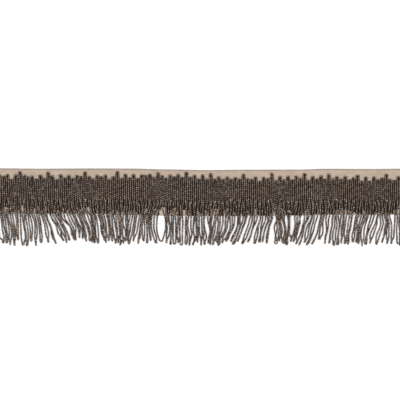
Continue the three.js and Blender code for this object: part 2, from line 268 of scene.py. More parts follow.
# How the loops lean, as millimetres along for each millimetre down. The near lean sets in at the lean start,
# and the far lean takes over from it at the far start, each over a length.
LEAN_START = 26
LEAN_LENGTH = 9
FAR_START = 41.5
FAR_LENGTH = 6
Lean = namedtuple("Lean", "along near far")
LEANS = [
    Lean(-150, 0.12, 0.1),
    Lean(-136, 0.1, 0.05),
    Lean(-128, 0.0, 0.0),
    Lean(-121, 0.1, 0.1),
    Lean(-116, 0.6, 0.15),
    Lean(-107, 0.8, 0.15),
    Lean(-101, 0.55, 0.0),
    Lean(-93, 0.4, 0.25),
    Lean(-86, 0.45, 0.3),
    Lean(-80, 0.1, 0.1),
    Lean(-69, 0.4, 0.2),
    Lean(-63, 0, 0),
    Lean(-49, -0.3, -0.5),
    Lean(-42, -0.05, -0.4),
    Lean(-36, 0, 0.3),
    Lean(-30, 0, 0),
    Lean(-24, 0, -0.3),
    Lean(-15, 0, 0),
    Lean(16, -0.2, -0.2),
    Lean(26, -0.35, -0.6),
    Lean(34, -0.25, -0.6),
    Lean(43, -0.1, -0.2),
    Lean(68, -0.25, -0.25),
    Lean(80, -0.4, -0.5),
    Lean(91, -0.2, -0.2),
    Lean(103, 0, 0.15),
    Lean(115, -0.25, -0.25),
    Lean(134, -0.25, -0.2),
    Lean(152, -0.1, -0.1),
]

# A parting starts to open a little above its top, over the ribbon. Between two shares of its line, the second
# of them past its foot, it narrows to the last width, a share of its own.
PARTING_LEAD = 5.0
CLOSE_SHARE = 0.9
CLOSED_SHARE = 1.4
LAST_WIDTH = 0.3

# A parting pushes the loops beside it aside, less and less over its reach, and hardly at all past its fade.
# This share of its width isn't filled again when the room between the loops is evened out.
PARTING_REACH = 3.2
PARTING_FADE = 8
PARTING_KEPT = 0.35

# Partings between loops, each a line from its top to its foot and how far it stands open.
Parting = namedtuple("Parting", "along drop to_along to_drop open")
PARTINGS = [
    Parting(-137.0, 35.0, -135.1, 51.1, 0.8),
    Parting(-129.1, 38.4, -128.0, 51.1, 0.8),
    Parting(-119.4, 36.9, -115.6, 54.1, 1.0),
    Parting(-114.5, 34.6, -108.5, 54.1, 1.8),
    Parting(-108.5, 38.4, -104.7, 51.1, 3.0),
    Parting(-99.9, 34.6, -92.7, 54.9, 3.2),
    Parting(-95.7, 36.9, -89.0, 51.9, 2.0),
    Parting(-86.7, 35.0, -80.7, 48.1, 2.4),
    Parting(-78.9, 34.6, -77.7, 45.9, 3.0),
    Parting(-66.5, 34.6, -65.7, 46.6, 1.0),
    Parting(-59.7, 34.6, -60.1, 43.6, 1.8),
    Parting(-53.4, 35.4, -54.9, 45.1, 1.0),
    Parting(-45.1, 36.1, -47.4, 55.6, 1.4),
    Parting(-41.5, 35.4, -41.7, 48.9, 1.0),
    Parting(-33.5, 35.4, -34.0, 47.4, 1.4),
    Parting(-18.1, 35.4, -18.9, 54.1, 1.8),
    Parting(-11.7, 35.4, -11.4, 48.9, 2.5),
    Parting(-6.9, 35.4, -8.0, 43.6, 1.4),
    Parting(5.1, 35.4, 5.1, 46.6, 2.1),
    Parting(17.9, 35.4, 16.0, 44.4, 2.0),
    Parting(26.1, 36.1, 22.0, 54.9, 2.8),
    Parting(35.1, 35.4, 31.8, 52.6, 3.7),
    Parting(43.2, 35.4, 42.0, 51.9, 2.4),
    Parting(54.3, 34.6, 52.4, 43.6, 1.7),
    Parting(64.4, 36.1, 62.1, 50.4, 1.2),
    Parting(74.1, 36.9, 71.5, 52.6, 1.5),
    Parting(80.5, 38.4, 76.8, 52.6, 1.4),
    Parting(83.9, 42.9, 79.0, 56.4, 1.5),
    Parting(88.8, 35.4, 87.3, 54.1, 2.5),
    Parting(94.0, 42.1, 91.4, 57.1, 2.4),
    Parting(97.0, 36.1, 95.1, 51.1, 2.4),
    Parting(107.7, 34.6, 106.8, 45.1, 2.4),
    Parting(114.6, 34.6, 113.1, 48.9, 3.4),
    Parting(125.0, 35.4, 124.4, 45.1, 2.1),
    Parting(130.2, 35.4, 128.9, 54.1, 2.4),
    Parting(133.4, 39.1, 130.8, 56.4, 3.5),
    Parting(143.5, 36.1, 141.3, 54.9, 3.5),
    Parting(147.3, 35.4, 146.1, 51.1, 3.4),
]

# Short lens-shaped openings between legs, where the bare ribbon shows above its lower edge. Their ends lie
# this share of the lens inside its points. Legs beside them are pushed aside, less and less over the reach.
GLIMPSE_POINT = 0.1
GLIMPSE_REACH = 1.3
Glimpse = namedtuple("Glimpse", "along drop to_drop open")
GLIMPSES = [
    Glimpse(-146.2, 28.7, 33.1, 1.0),
    Glimpse(-133.5, 27.7, 32.2, 1.0),
    Glimpse(-124.0, 29.9, 32.5, 0.9),
    Glimpse(-99.7, 30.7, 33.0, 0.9),
    Glimpse(-84.3, 28.5, 34.6, 1.5),
    Glimpse(-59.2, 32.2, 33.7, 0.6),
    Glimpse(-41.0, 29.7, 32.6, 0.9),
    Glimpse(-36.1, 28.0, 30.3, 0.6),
    Glimpse(-30.1, 30.2, 34.6, 0.9),
    Glimpse(-27.5, 27.9, 34.6, 1.1),
    Glimpse(-11.9, 29.8, 34.6, 1.5),
    Glimpse(12.9, 28.8, 32.6, 0.9),
    Glimpse(35.7, 30.6, 33.4, 0.8),
    Glimpse(54.1, 32.1, 34.4, 0.8),
    Glimpse(66.3, 29.9, 32.2, 1.0),
    Glimpse(108.4, 30.4, 33.4, 0.9),
    Glimpse(114.5, 31.9, 33.8, 0.7),
    Glimpse(130.5, 31.9, 33.8, 0.7),
    Glimpse(138.4, 31.9, 33.8, 0.7),
    Glimpse(147.8, 29.8, 34.6, 1.5),
]

# How the two legs of a loop lie, along the trim: how readily they lie apart instead of one over the other,
# half their distance where they do, and what share of the legs strays across its neighbours.
Lie = namedtuple("Lie", "along parted half stray")
LIES = [
    Lie(-150, 1.8, 0.76, 0.15),
    Lie(-124, 1.4, 0.78, 0.04),
    Lie(-112, 0.1, 1.0, 0.12),
    Lie(-80, 0.1, 1.0, 0.12),
    Lie(-73, 0.5, 0.95, 0.3),
    Lie(-54, 0.5, 0.95, 0.3),
    Lie(-46, 0.3, 1.0, 0.1),
    Lie(-36, -0.1, 1.05, 0.1),
    Lie(-5, -0.1, 1.05, 0.1),
    Lie(6, 0.1, 1.0, 0.3),
    Lie(18, -0.1, 1.05, 0.1),
    Lie(36, 0.1, 1.0, 0.1),
    Lie(60, 0.4, 0.95, 0.2),
    Lie(70, 0.4, 0.95, 0.3),
    Lie(80, 0.0, 1.05, 0.1),
    Lie(150, 0.0, 1.05, 0.1),
]

# Loops that hang longer or, below zero, shorter than the rest, by where they lie at the length's drop.
LENGTH_DROP = 43.5
UNEVEN_REACH = 2.0
Uneven = namedtuple("Uneven", "along extra")
UNEVEN = [
    Uneven(-141.0, 2.3),
    Uneven(-132.9, 2.0),
    Uneven(-123.5, 1.8),
    Uneven(-105.0, 1.3),
    Uneven(-99.5, -2.4),
    Uneven(-90.5, -2.2),
    Uneven(-59.0, 1.7),
    Uneven(-45.1, 1.1),
    Uneven(-42.1, -2.5),
    Uneven(-29.7, -2.4),
    Uneven(-9.7, 1.5),
    Uneven(18.5, 1.1),
    Uneven(32.5, -2.5),
    Uneven(59.5, -1.0),
    Uneven(76.0, 2.5),
    Uneven(120.9, 2.6),
    Uneven(128.7, 1.9),
    Uneven(137.5, -1.0),
    Uneven(147.5, 2.3),
]

# Loops whose legs lie wide apart: where they open, how wide, how wide their foot stays,
# how far the loop is carried aside, and what share of the space between its legs is kept clear.
WideLoop = namedtuple("WideLoop", "pair opens_at opens_over spread foot carry clear")
WIDE_LOOPS = [
    WideLoop(40, 24, 14, 6.6, 1.4, -0.75, 1),
    WideLoop(43, 33, 6, 2.1, 1.7, 0.2, 1),
    WideLoop(45, 34, 8, 2.0, 1.7, -0.8, 1),
    WideLoop(68, 36, 8, 6.2, 1.6, 0, 0.5),
    WideLoop(98, 40, 8, 2.4, 2.0, 0, 1),
]
WIDE_PAIRS = {loop.pair: loop for loop in WIDE_LOOPS}

# From this drop, and over this length, they close again to the width of their foot.
WIDE_CLOSES_AT = 43
WIDE_CLOSES_OVER = 14

# Loops that swing across their neighbours: from which drop, over what length, and how far aside.
Swing = namedtuple("Swing", "pair at over aside")
SWINGS = [
    Swing(12, 35, 9, 1.8),
    Swing(15, 36, 8, 2.4),
    Swing(24, 34, 7, 1.8),
]

# The ribbon's mesh: how many columns along it, and its rows across it, closer together at the edges.
RIBBON_COLUMNS = 245
RIBBON_ROWS = np.concatenate([[0, 0.012, 0.03, 0.05], np.linspace(0.08, 0.92, 25), [0.95, 0.97, 0.988, 1]])

# The ridge of a selvedge: its height, how far in from the edge it lies, and half its width.
SELVEDGE_HEIGHT = 0.05
SELVEDGE_PLACE = 0.8
SELVEDGE_HALF = 0.5

# How far the ribbon's face and back are rounded off at the very edge, and over what length.
FACE_ROUNDING = 0.3
BACK_ROUNDING = 0.25
ROUNDING_LENGTH = 0.22

# A slight ripple of the ribbon's face, which fades out towards the edges.
RIPPLE_HEIGHT = 0.03
RIPPLE_SHORT = 17
RIPPLE_LONG = 41
RIPPLE_PHASE = 1
RIPPLE_MARGIN = 3

# How wide the browner border along a selvedge is.
BORDER_WIDTH = 0.5

# The beads' tones, from the darkest bead to the few lightest.
Tone = namedtuple("Tone", "at red green blue")
BEAD_TONES = [
    Tone(0.0, 0.063, 0.042, 0.029),
    Tone(0.5, 0.112, 0.083, 0.063),
    Tone(0.9, 0.152, 0.121, 0.1),
    Tone(0.98, 0.172, 0.143, 0.122),
    Tone(1.0, 0.235, 0.202, 0.18),
]

# How much lighter and more contrasted than these tones the stitched beads and the loops' beads are.
# Contrast moves a tone away from the one whose green is this.
MIDDLE_GREEN = 0.083
ROW_LIGHTNESS = 1.05
ROW_CONTRAST = 1.0
# The loops' beads are painted lighter than the stitched ones: painted light against the shade where their
# strands lie on each other.
LOOP_PAINTED_LIGHTNESS = 1.06
LOOP_CONTRAST = 1.35

# What a bead's tone is multiplied by, from the most violet beads to the most green.
BEAD_TINTS = [(0.0, (0.87, 0.82, 0.97)), (0.5, (1.0, 0.97, 0.95)), (1.0, (0.95, 0.97, 0.89))]

# The lighter a bead, the smoother it is.
BEAD_ROUGHNESS = [(0.0, 0.42), (0.8, 0.3), (1.0, 0.16)]
BEAD_LUSTRE = 0.55

# Near-black thread tones: painted shade, darker than the thread itself, because the thread lies in the shaded
# gaps between the rows.
PAINTED_SHADE_THREAD_TONES = [(0.3, (0.0105, 0.0062, 0.0036)), (0.7, (0.025, 0.0148, 0.0092))]
RIBBON_TONES = [(0.25, (0.295, 0.227, 0.173)), (0.5, (0.345, 0.269, 0.209)), (0.75, (0.4, 0.317, 0.25))]
SELVEDGE_TINTS = [(0.0, (1, 1, 1)), (1.0, (0.62, 0.55, 0.5))]

# The pitch of the weave's ribs along each axis. A wave texture of scale 1 repeats every 0.314 units.
RIB_PITCHES = [("X", 0.45), ("Y", 0.6)]
WAVE_UNIT = 0.314

# The colour sockets of a mix node: its two inputs and its output.
MIX_FIRST = 6
MIX_SECOND = 7
MIX_RESULT = 2

# In metres, the surface just under the trim and the lamp, a little to the loops' side, in an even room.
FLOOR_SIZE = 6
FLOOR_GAP = 0.0002
ROOM_LIGHT = 0.45
LAMP_SIZE = 2.2
LAMP_WATTS = 79
LAMP_NEARER = 0.5
LAMP_HEIGHT = 2.4

# The photograph's framing: its side in pixels, the millimetres in a pixel, the trim's middle in pixels from
# the left, and the ribbon's upper edge in pixels from the top.
PICTURE = 400
PIXEL = 0.75
MIDDLE_PIXEL = 200.65
UPPER_EDGE_PIXEL = 168.6
LENS = 200
SENSOR = 36
FAR_CLIP = 20


def ease(share):
    """Smooth step from 0 to 1."""
    t = np.clip(share, 0, 1)
    return t * t * (3 - 2 * t)


# How loose the legs are at each of DROPS: held at the last stitched course, quite free further down.
LOOSE = ease((DROPS - LOOSE_START) / LOOSE_LENGTH)


def drop_index(drop):
    """Where in DROPS a drop stands."""
    return int(round((drop - STITCH_DROP) / DROP_STEP))


def read_table(table, along, column):
    """Value of a table's column at places along the trim, eased from row to row."""
    places = np.array([row.along for row in table])
    values = np.array([getattr(row, column) for row in table])
    after = np.clip(np.searchsorted(places, along), 1, len(table) - 1)
    share = ease((along - places[after - 1]) / (places[after] - places[after - 1]))
    return values[after - 1] + (values[after] - values[after - 1]) * share


def on_plan(along, drop):
    """Row-frame x and y in millimetres of places on the trim's plan."""
    return PLAN_X + along, PLAN_TOP - drop - read_table(RIBBON_EDGES, along, "upper")


def ribbon_width(along):
    return read_table(RIBBON_EDGES, along, "lower") - read_table(RIBBON_EDGES, along, "upper")


def pair_middle(pair):
    return (pair - (PAIR_COUNT - 1) / 2) * PAIR_PITCH


def crown_drops():
    """Drop of every pair's crown."""
    usual = np.array([TOOTH_DROP[tooth] for tooth in TOOTH_CHART])
    line = read_table(CROWN_LINE, pair_middle(np.arange(PAIR_COUNT)), "lower")
    for pair, tooth in enumerate(TOOTH_CHART):
        flank = pair + RANDOM.choice([-1, 1])
        if tooth in "TM" and 0 <= flank < PAIR_COUNT and TOOTH_CHART[flank] == "v":
            usual[flank] -= RANDOM.uniform(0, FLANK_RISE)
    return usual + line + RANDOM.normal(0, TOOTH_JITTER, PAIR_COUNT)


def waves_at(waves, phases, along, drop):
    """Sum of some waves at places on the plan."""
    total = 0
    for wave, phase in zip(waves, phases):
        total = total + wave.reach * np.sin(2 * math.pi * (along / wave.along + drop / wave.down) + phase)
    return total


def row_drift(along, drop):
    """How far aside the bead rows lie at a place."""
    swing = waves_at(ROW_WAVES, (0, 0), along, drop)
    return read_table(ROW_DRIFT, along, "aside") + read_table(ROW_DRIFT, along, "swing") * swing


def bunching(along):
    """Sideways carry of a loop on its way down DROPS, from the shared waves."""
    return waves_at(LOOP_WAVES, LOOP_WAVE_PHASES, along, DROPS) * LOOSE


def wave_down(length, overtone):
    """A random smooth wave along DROPS, of about unit height."""
    below = (DROPS - STITCH_DROP) / length * 2 * math.pi
    phase = RANDOM.uniform(0, 2 * math.pi, 2)
    return np.sin(below + phase[0]) + overtone * np.sin(OVERTONE_PITCH * below + phase[1])


def lean_at(along, drop):
    near = read_table(LEANS, along, "near")
    far = read_table(LEANS, along, "far")
    past = ease((drop - FAR_START) / FAR_LENGTH)
    return ease((drop - LEAN_START) / LEAN_LENGTH) * (near + (far - near) * past)


def leaning_line(root):
    """Places at each of DROPS of a loop that follows the leans from its root."""
    along = np.full(len(DROPS), root)
    for i in range(1, len(DROPS)):
        along[i] = along[i - 1] + lean_at(along[i - 1], DROPS[i - 1]) * DROP_STEP
    return along


def parting_width(parting):
    """How far a parting stands open at each of DROPS."""
    share = (DROPS - parting.drop) / (parting.to_drop - parting.drop)
    closing = ease((share - CLOSE_SHARE) / (CLOSED_SHARE - CLOSE_SHARE))
    opening = ease((DROPS - parting.drop + PARTING_LEAD) / PARTING_LEAD)
    return parting.open * opening * (1 + (LAST_WIDTH - 1) * closing)


def open_partings(along):
    """Pushes a loop's middle aside wherever the loops part beside it."""
    for parting in PARTINGS:
        side = 1.0 if along[drop_index(parting.drop)] > parting.along else -1.0
        share = (DROPS - parting.drop) / (parting.to_drop - parting.drop)
        line = parting.along + (parting.to_along - parting.along) * np.maximum(share, 0)
        beside = side * (along - line)
        push = parting_width(parting) / 2 * np.exp(-np.maximum(beside, 0) / PARTING_REACH)
        along = along + side * push * np.exp(-((beside / PARTING_FADE) ** 2))
    return along


def part_at_glimpses(along):
    """Pushes a leg aside wherever the bare ribbon shows beside it."""
    for glimpse in GLIMPSES:
        share = (DROPS - glimpse.drop) / (glimpse.to_drop - glimpse.drop)
        lens = np.sin(np.clip(share * (1 - 2 * GLIMPSE_POINT) + GLIMPSE_POINT, 0, 1) * math.pi)
        side = 1.0 if along[drop_index((glimpse.drop + glimpse.to_drop) / 2)] > glimpse.along else -1.0
        beside = np.abs(along - glimpse.along)
        along = along + side * glimpse.open / 2 * lens * np.exp(-beside / GLIMPSE_REACH)
    return along


def smooth_over_pairs(values, window):
    """Running mean of an array of pairs by drops, over neighbouring pairs."""
    reach = window // 2
    padded = np.concatenate([values[reach:0:-1], values, values[-2 : -reach - 2 : -1]])
    sums = np.cumsum(np.concatenate([np.zeros((1, values.shape[1])), padded]), axis=0)
    return (sums[window:] - sums[:-window]) / window


def leg_spreads():
    """Half the distance between the legs of every loop at each of DROPS, as pairs by drops."""
    half = np.empty((PAIR_COUNT, len(DROPS)))
    for pair in range(PAIR_COUNT):
        turn = (DROPS - STITCH_DROP) / RANDOM.uniform(*TURN_LENGTHS)
        turn = turn + RANDOM.uniform(-TURN_JITTER, TURN_JITTER)
        wave = np.sin(2 * math.pi * turn + GOLDEN_ANGLE * pair)
        readiness = read_table(LIES, pair_middle(pair), "parted")
        parted = (1 + np.tanh(TURN_SHARPNESS * (wave + readiness))) / 2
        half[pair] = CLOSED_HALF + (read_table(LIES, pair_middle(pair), "half") - CLOSED_HALF) * parted
    for loop in WIDE_LOOPS:
        opening = ease((DROPS - loop.opens_at) / loop.opens_over)
        closing = ease((DROPS - WIDE_CLOSES_AT) / WIDE_CLOSES_OVER)
        spread = ROW_PITCH + (loop.spread - ROW_PITCH) * opening + (loop.foot - loop.spread) * closing
        half[loop.pair] = spread / 2
    return half


def slides(taken):
    """How far each loop slides aside at each of DROPS, as its neighbours take more or less room."""
    room = 2 * taken + LOOP_ROOM
    place = np.cumsum(room, axis=0) - room / 2
    slide = place - pair_middle(np.arange(PAIR_COUNT))[:, None]
    return (slide - smooth_over_pairs(slide, SLIDE_WINDOW)) * LOOSE


def even_out(centre, taken):
    """Slides the loops so that the strands lie evenly, but for the partings."""
    held = {pair: centre[pair].copy() for pair in WIDE_PAIRS}
    parted = np.zeros((PAIR_COUNT - 1, len(DROPS)))
    for parting in PARTINGS:
        before = int(np.sum(centre[:, drop_index(parting.drop)] < parting.along)) - 1
        parted[min(max(before, 0), PAIR_COUNT - 2)] += PARTING_KEPT * parting_width(parting)
    for _ in range(EVENING_ROUNDS):
        room = np.minimum((centre[1:] - taken[1:]) - (centre[:-1] + taken[:-1]) - parted, FULL_ROOM)
        centre[1:-1] += EVENING_STEP * (room[1:] - room[:-1]) * LOOSE
        for pair, line in held.items():
            centre[pair] = line


def loop_lines():
    """Middle and half spread of every loop at each of DROPS, as two arrays of pairs by drops."""
    half = leg_spreads()
    taken = np.abs(half)
    for loop in WIDE_LOOPS:
        taken[loop.pair] *= loop.clear
    slide = slides(taken)
    drawn = ROW_PITCH / 2 - (ROW_PITCH / 2 - DRAWN_HALF) * ease((DROPS - STITCH_DROP) / DRAWN_LENGTH)
    centre = np.empty_like(half)
    for pair, middle in enumerate(pair_middle(np.arange(PAIR_COUNT))):
        line = leaning_line(middle)
        wave = LOOP_WAVE * wave_down(LOOP_WAVE_LENGTH, LOOP_OVERTONE) * LOOSE
        if pair in WIDE_PAIRS:
            centre[pair] = middle + WIDE_PAIRS[pair].carry * LOOSE
        else:
            centre[pair] = open_partings(line + slide[pair] + bunching(line) + wave)
            half[pair] = drawn + (half[pair] - drawn) * LOOSE
    even_out(centre, taken)
    for swing in SWINGS:
        centre[swing.pair] += swing.aside * ease((DROPS - swing.at) / swing.over)
    return centre, half


def leg_sway(along):
    """One leg's own way down: a slight wave and, now and then, a stray to one side."""
    sway = LEG_WAVE * wave_down(RANDOM.uniform(*LEG_WAVE_LENGTHS), LEG_OVERTONE) * LOOSE
    strays = RANDOM.uniform() < read_table(LIES, along, "stray")
    stray = RANDOM.uniform(*STRAY_REACH) * RANDOM.choice([-1, 1]) * strays
    return sway + stray * ease((DROPS - RANDOM.uniform(*STRAY_START)) / RANDOM.uniform(*STRAY_LENGTH))


def free_length(along):
    length = FREE_LENGTH + RANDOM.normal(0, LENGTH_JITTER)
    for row in UNEVEN:
        length += row.extra * math.exp(-(((along - row.along) / UNEVEN_REACH) ** 2))
    return length


def half_of_rows(crown_top):
    """Right half of a pair's stitched part: from the middle of its crown, round and down its right row."""
    top = crown_top + CROWN_INSET
    turn = np.linspace(0, math.pi / 2, CROWN_POINTS)
    arch = (ROW_PITCH / 2 + CROWN_BULGE) * np.sin(turn)
    crown = np.stack([arch, top + CROWN_HEIGHT * (1 - np.cos(turn))], 1)
    drops = np.arange(top + CROWN_HEIGHT + ROW_STEP, STITCH_DROP - ROW_END_GAP, ROW_STEP)
    bulge = CROWN_BULGE * (1 - ease((drops - top - CROWN_HEIGHT) / BULGE_LENGTH))
    return np.concatenate([crown, np.stack([ROW_PITCH / 2 + bulge, drops], 1)])


def loop_legs(pair, centre, half):
    """Places of a loop's left and right leg at each of DROPS, and where in DROPS its foot starts."""
    bow = read_table(RIBBON_EDGES, centre, "upper")
    used = np.concatenate([[0], np.cumsum(np.hypot(np.diff(centre), np.diff(DROPS + bow)))])
    length = free_length(centre[drop_index(LENGTH_DROP)]) - FOOT_STRING
    foot_at = min(int(np.searchsorted(used, length)), drop_index(LOWEST_FOOT))
    closed = DROPS[foot_at] - RANDOM.uniform(*CLOSED_ABOVE_FOOT)
    run = RANDOM.uniform(*CLOSING_LENGTH)
    closing = ease((DROPS - closed + run) / run)
    if pair not in WIDE_PAIRS:
        is_narrow = RANDOM.uniform() < NARROW_SHARE
        foot_half = RANDOM.uniform(*(NARROW_FOOT_HALF if is_narrow else ROUND_FOOT_HALF))
        half = half + (np.copysign(foot_half, half) - half) * closing
    left = part_at_glimpses(centre - half + leg_sway(pair_middle(pair)) * (1 - closing))
    right = part_at_glimpses(centre + half + leg_sway(pair_middle(pair)) * (1 - closing))
    return left, right, foot_at


def foot_curve(left, right, drop, lean):
    """A loop's round foot, between the ends of its left and its right leg."""
    reach = (right - left) / 2
    deep = max(abs(reach) * FOOT_DEPTH, LEAST_FOOT_DEPTH)
    turn = np.linspace(0, math.pi, FOOT_POINTS)[1:-1]
    along = (left + right) / 2 - reach * np.cos(turn) + lean * deep * np.sin(turn)
    return np.stack([along, drop + deep * np.sin(turn)], 1)


def loop_curve(pair, crown_top, centre, half):
    """Closed plan curve of a strung pair as (along, drop), from its crown down the left and up the right."""
    rows = half_of_rows(crown_top)
    left, right, foot_at = loop_legs(pair, centre, half)
    lean = (centre[foot_at] - centre[foot_at - LEAN_STEPS]) / (LEAN_STEPS * DROP_STEP)
    foot = foot_curve(left[foot_at], right[foot_at], DROPS[foot_at], lean)
    middle = np.array([pair_middle(pair), 0])
    mirror = np.array([-1, 1])
    down = np.concatenate([rows * mirror + middle, np.stack([left, DROPS], 1)[: foot_at + 1]])
    up = np.concatenate([rows + middle, np.stack([right, DROPS], 1)[: foot_at + 1]])
    return np.concatenate([down, foot, up[::-1]])


def spaced(curve, pitch, first):
    """Points evenly spaced along a closed plan curve, the first one some share of a space from its start."""
    runs = np.hypot(*np.diff(curve, axis=0).T)
    used = np.concatenate([[0], np.cumsum(runs)])
    count = int(round(used[-1] / pitch))
    at = (np.arange(count) + first) * used[-1] / count
    return np.stack([np.interp(at, used, curve[:, 0]), np.interp(at, used, curve[:, 1])], 1)


# The columns of a string's array: x, y and z of its bead centres in millimetres, and their drop.
X, Y, Z, DROP = range(4)
XYZ = slice(0, 3)


def string_beads(crowns):
    """The bead centres of every pair, as a list of arrays in the row frame."""
    strings = []
    centres, halves = loop_lines()
    for pair in range(PAIR_COUNT):
        curve = loop_curve(pair, crowns[pair], centres[pair], halves[pair])
        along, drop = spaced(curve, BEAD_PITCH, (0.5 + pair * GOLDEN_SHARE) % 1).T
        along = along + row_drift(along, drop)
        x, y = on_plan(along, drop)
        over_ribbon = drop < ribbon_width(along) + EDGE_OVERHANG
        z = np.where(over_ribbon, RIBBON_THICKNESS, 0.0) + BEAD_WIDTH / 2 + BEAD_LIFT
        strings.append(np.stack([x, y, z, drop], 1))
    return strings


def resting_heights(leg, laid):
    """Heights at which a leg's beads rest on the beads laid before."""
    near = (np.abs(laid[:, X] - leg[:, X].mean()) < NEARBY) & (laid[:, Y] < leg[:, Y].max() + NEARBY_ABOVE)
    laid = laid[near]
    away = np.hypot(leg[:, None, X] - laid[None, :, X], leg[:, None, Y] - laid[None, :, Y])
    lift = np.sqrt(np.maximum(CONTACT**2 - away**2, 0))
    # A bead isn't lifted by the beads just above it on its own string.
    touches = (away < CONTACT) & (leg[:, None, DROP] > STITCH_DROP + LIFT_START)
    height = np.where(touches, laid[None, :, Z] + lift, 0).max(axis=1, initial=0)
    z = np.minimum(np.maximum(leg[:, Z], height), leg[:, Z] + MOST_LIFT)
    for i in range(1, len(z)):
        z[i] = max(z[i], z[i - 1] - MOST_FALL)
    for i in range(len(z) - 2, -1, -1):
        z[i] = max(z[i], z[i + 1] - MOST_FALL)
    return z


def settle(strings):
    """Lays the free legs down one by one, each to rest on the ribbon, the surface, or legs laid before."""
    laid = [beads[beads[:, DROP] < STITCH_DROP, XYZ] for beads in strings]
    for pair in [*range(0, PAIR_COUNT, 2), *range(1, PAIR_COUNT, 2)]:
        beads = strings[pair]
        free = np.where(beads[:, DROP] >= STITCH_DROP)[0]
        half = len(free) // 2
        for leg in (free[:half], free[half:]):
            beads[leg, Z] = resting_heights(beads[leg], np.concatenate(laid))
            laid.append(beads[leg[LEG_END_BEADS:-LEG_END_BEADS], XYZ])


def frames_along(points, closed):
    """Tangent, upward and sideways unit vectors at each point of a string."""
    if closed:
        tangent = np.roll(points, -1, axis=0) - np.roll(points, 1, axis=0)
    else:
        tangent = np.gradient(points, axis=0)
    tangent /= np.linalg.norm(tangent, axis=1, keepdims=True)
    up = np.array([0, 0, 1.0]) - tangent * tangent[:, [Z]]
    up /= np.linalg.norm(up, axis=1, keepdims=True)
    return tangent, up, np.cross(tangent, up)


def mesh_object(name, points, quads):
    """A smooth mesh object from points in millimetres and an array of quads."""
    mesh = bpy.data.meshes.new(name)
    mesh.vertices.add(len(points))
    mesh.vertices.foreach_set("co", (points * MM).astype(np.float32).ravel())
    mesh.loops.add(quads.size)
    mesh.loops.foreach_set("vertex_index", quads.astype(np.int32).ravel())
    mesh.polygons.add(len(quads))
    mesh.polygons.foreach_set("loop_start", np.arange(0, quads.size, 4, dtype=np.int32))
    mesh.polygons.foreach_set("use_smooth", np.full(len(quads), True))
    mesh.update(calc_edges=True)
    mesh.validate()
    piece = bpy.data.objects.new(name, mesh)
    bpy.context.scene.collection.objects.link(piece)
    return piece


def point_attribute(piece, name, values):
    attribute = piece.data.attributes.new(name, "FLOAT", "POINT")
    attribute.data.foreach_set("value", np.asarray(values, dtype=np.float32))


def bead_quads():
    """Quads of one bead: each ring is joined to the next, and the last to the first through the hole."""
    quads = []
    for ring in range(len(BEAD_RINGS)):
        here = ring * BEAD_SIDES
        there = (ring + 1) % len(BEAD_RINGS) * BEAD_SIDES
        for i in range(BEAD_SIDES):
            j = (i + 1) % BEAD_SIDES
            quads.append([here + i, here + j, there + j, there + i])
    return np.array(quads)


def bead_mesh(name, centres, tangents, ups, sides):
    """Joined beads: pierced barrels, each with its own size, roll, tilt and two numbers for its finish."""
    count = len(centres)
    size = 1 + RANDOM.normal(0, BEAD_SIZE_SPREAD, count).clip(-BEAD_SIZE_LIMIT, BEAD_SIZE_LIMIT)
    stretch = 1 + RANDOM.normal(0, BEAD_LENGTH_SPREAD, count).clip(*BEAD_LENGTH_LIMITS)
    roll = RANDOM.uniform(0, 2 * math.pi, count)
    tilt = RANDOM.normal(0, BEAD_TILT, (count, 2))
    axis = tangents + tilt[:, :1] * ups + tilt[:, 1:] * sides
    axis /= np.linalg.norm(axis, axis=1, keepdims=True)
    up = ups - axis * np.sum(ups * axis, axis=1, keepdims=True)
    up /= np.linalg.norm(up, axis=1, keepdims=True)
    side = np.cross(axis, up)
    turned = np.arange(BEAD_SIDES) * 2 * math.pi / BEAD_SIDES + roll[:, None]
    radial = np.cos(turned)[..., None] * up[:, None, :] + np.sin(turned)[..., None] * side[:, None, :]
    length = BEAD_PITCH * BEAD_FILL * stretch
    radius = BEAD_WIDTH / 2 * size
    rings = np.array(BEAD_RINGS)
    forward = (rings[:, 0] * length[:, None])[..., None, None]
    outward = (rings[:, 1] * radius[:, None])[..., None, None]
    points = centres[:, None, None, :] + axis[:, None, None, :] * forward + radial[:, None, :, :] * outward
    per_bead = len(BEAD_RINGS) * BEAD_SIDES
    quads = bead_quads() + (np.arange(count) * per_bead)[:, None, None]
    piece = mesh_object(name, points.reshape(-1, 3), quads.reshape(-1, 4))
    for finish in ("shade", "hue"):
        point_attribute(piece, finish, np.repeat(RANDOM.uniform(0, 1, count), per_bead))
    return piece


def thread_mesh(name, lines, width, height):
    """Joined threads of oval section along open lines of points."""
    points = []
    quads = []
    start = 0
    around = np.arange(THREAD_SIDES)
    angle = around * 2 * math.pi / THREAD_SIDES
    for line in lines:
        _, up, side = frames_along(line, closed=False)
        high = np.cos(angle)[None, :, None] * up[:, None, :] * height / 2
        wide = np.sin(angle)[None, :, None] * side[:, None, :] * width / 2
        points.append((line[:, None, :] + high + wide).reshape(-1, 3))
        rings = start + np.arange(len(line) - 1)[:, None] * THREAD_SIDES
        here = rings + around
        beside = rings + (around + 1) % THREAD_SIDES
        quads.append(np.stack([here, beside, beside + THREAD_SIDES, here + THREAD_SIDES], -1).reshape(-1, 4))
        last = start + (len(line) - 1) * THREAD_SIDES
        quads.append(np.array([start + around[::-1], last + around]))
        start += len(line) * THREAD_SIDES
    return mesh_object(name, np.concatenate(points), np.concatenate(quads))


def ribbon_heights(along, edge):
    """Heights of the ribbon's face and back, by place along it and distance in from its nearer edge."""
    ridge = SELVEDGE_HEIGHT * np.exp(-(((edge - SELVEDGE_PLACE) / SELVEDGE_HALF) ** 2))
    rounding = np.exp(-edge / ROUNDING_LENGTH)
    ripple = RIPPLE_HEIGHT * np.sin(along / RIPPLE_SHORT) * np.sin(along / RIPPLE_LONG + RIPPLE_PHASE)
    ripple *= np.clip(edge / RIPPLE_MARGIN, 0, 1)
    face = RIBBON_THICKNESS + (ridge - FACE_ROUNDING * rounding) + ripple
    return face, BACK_ROUNDING * rounding


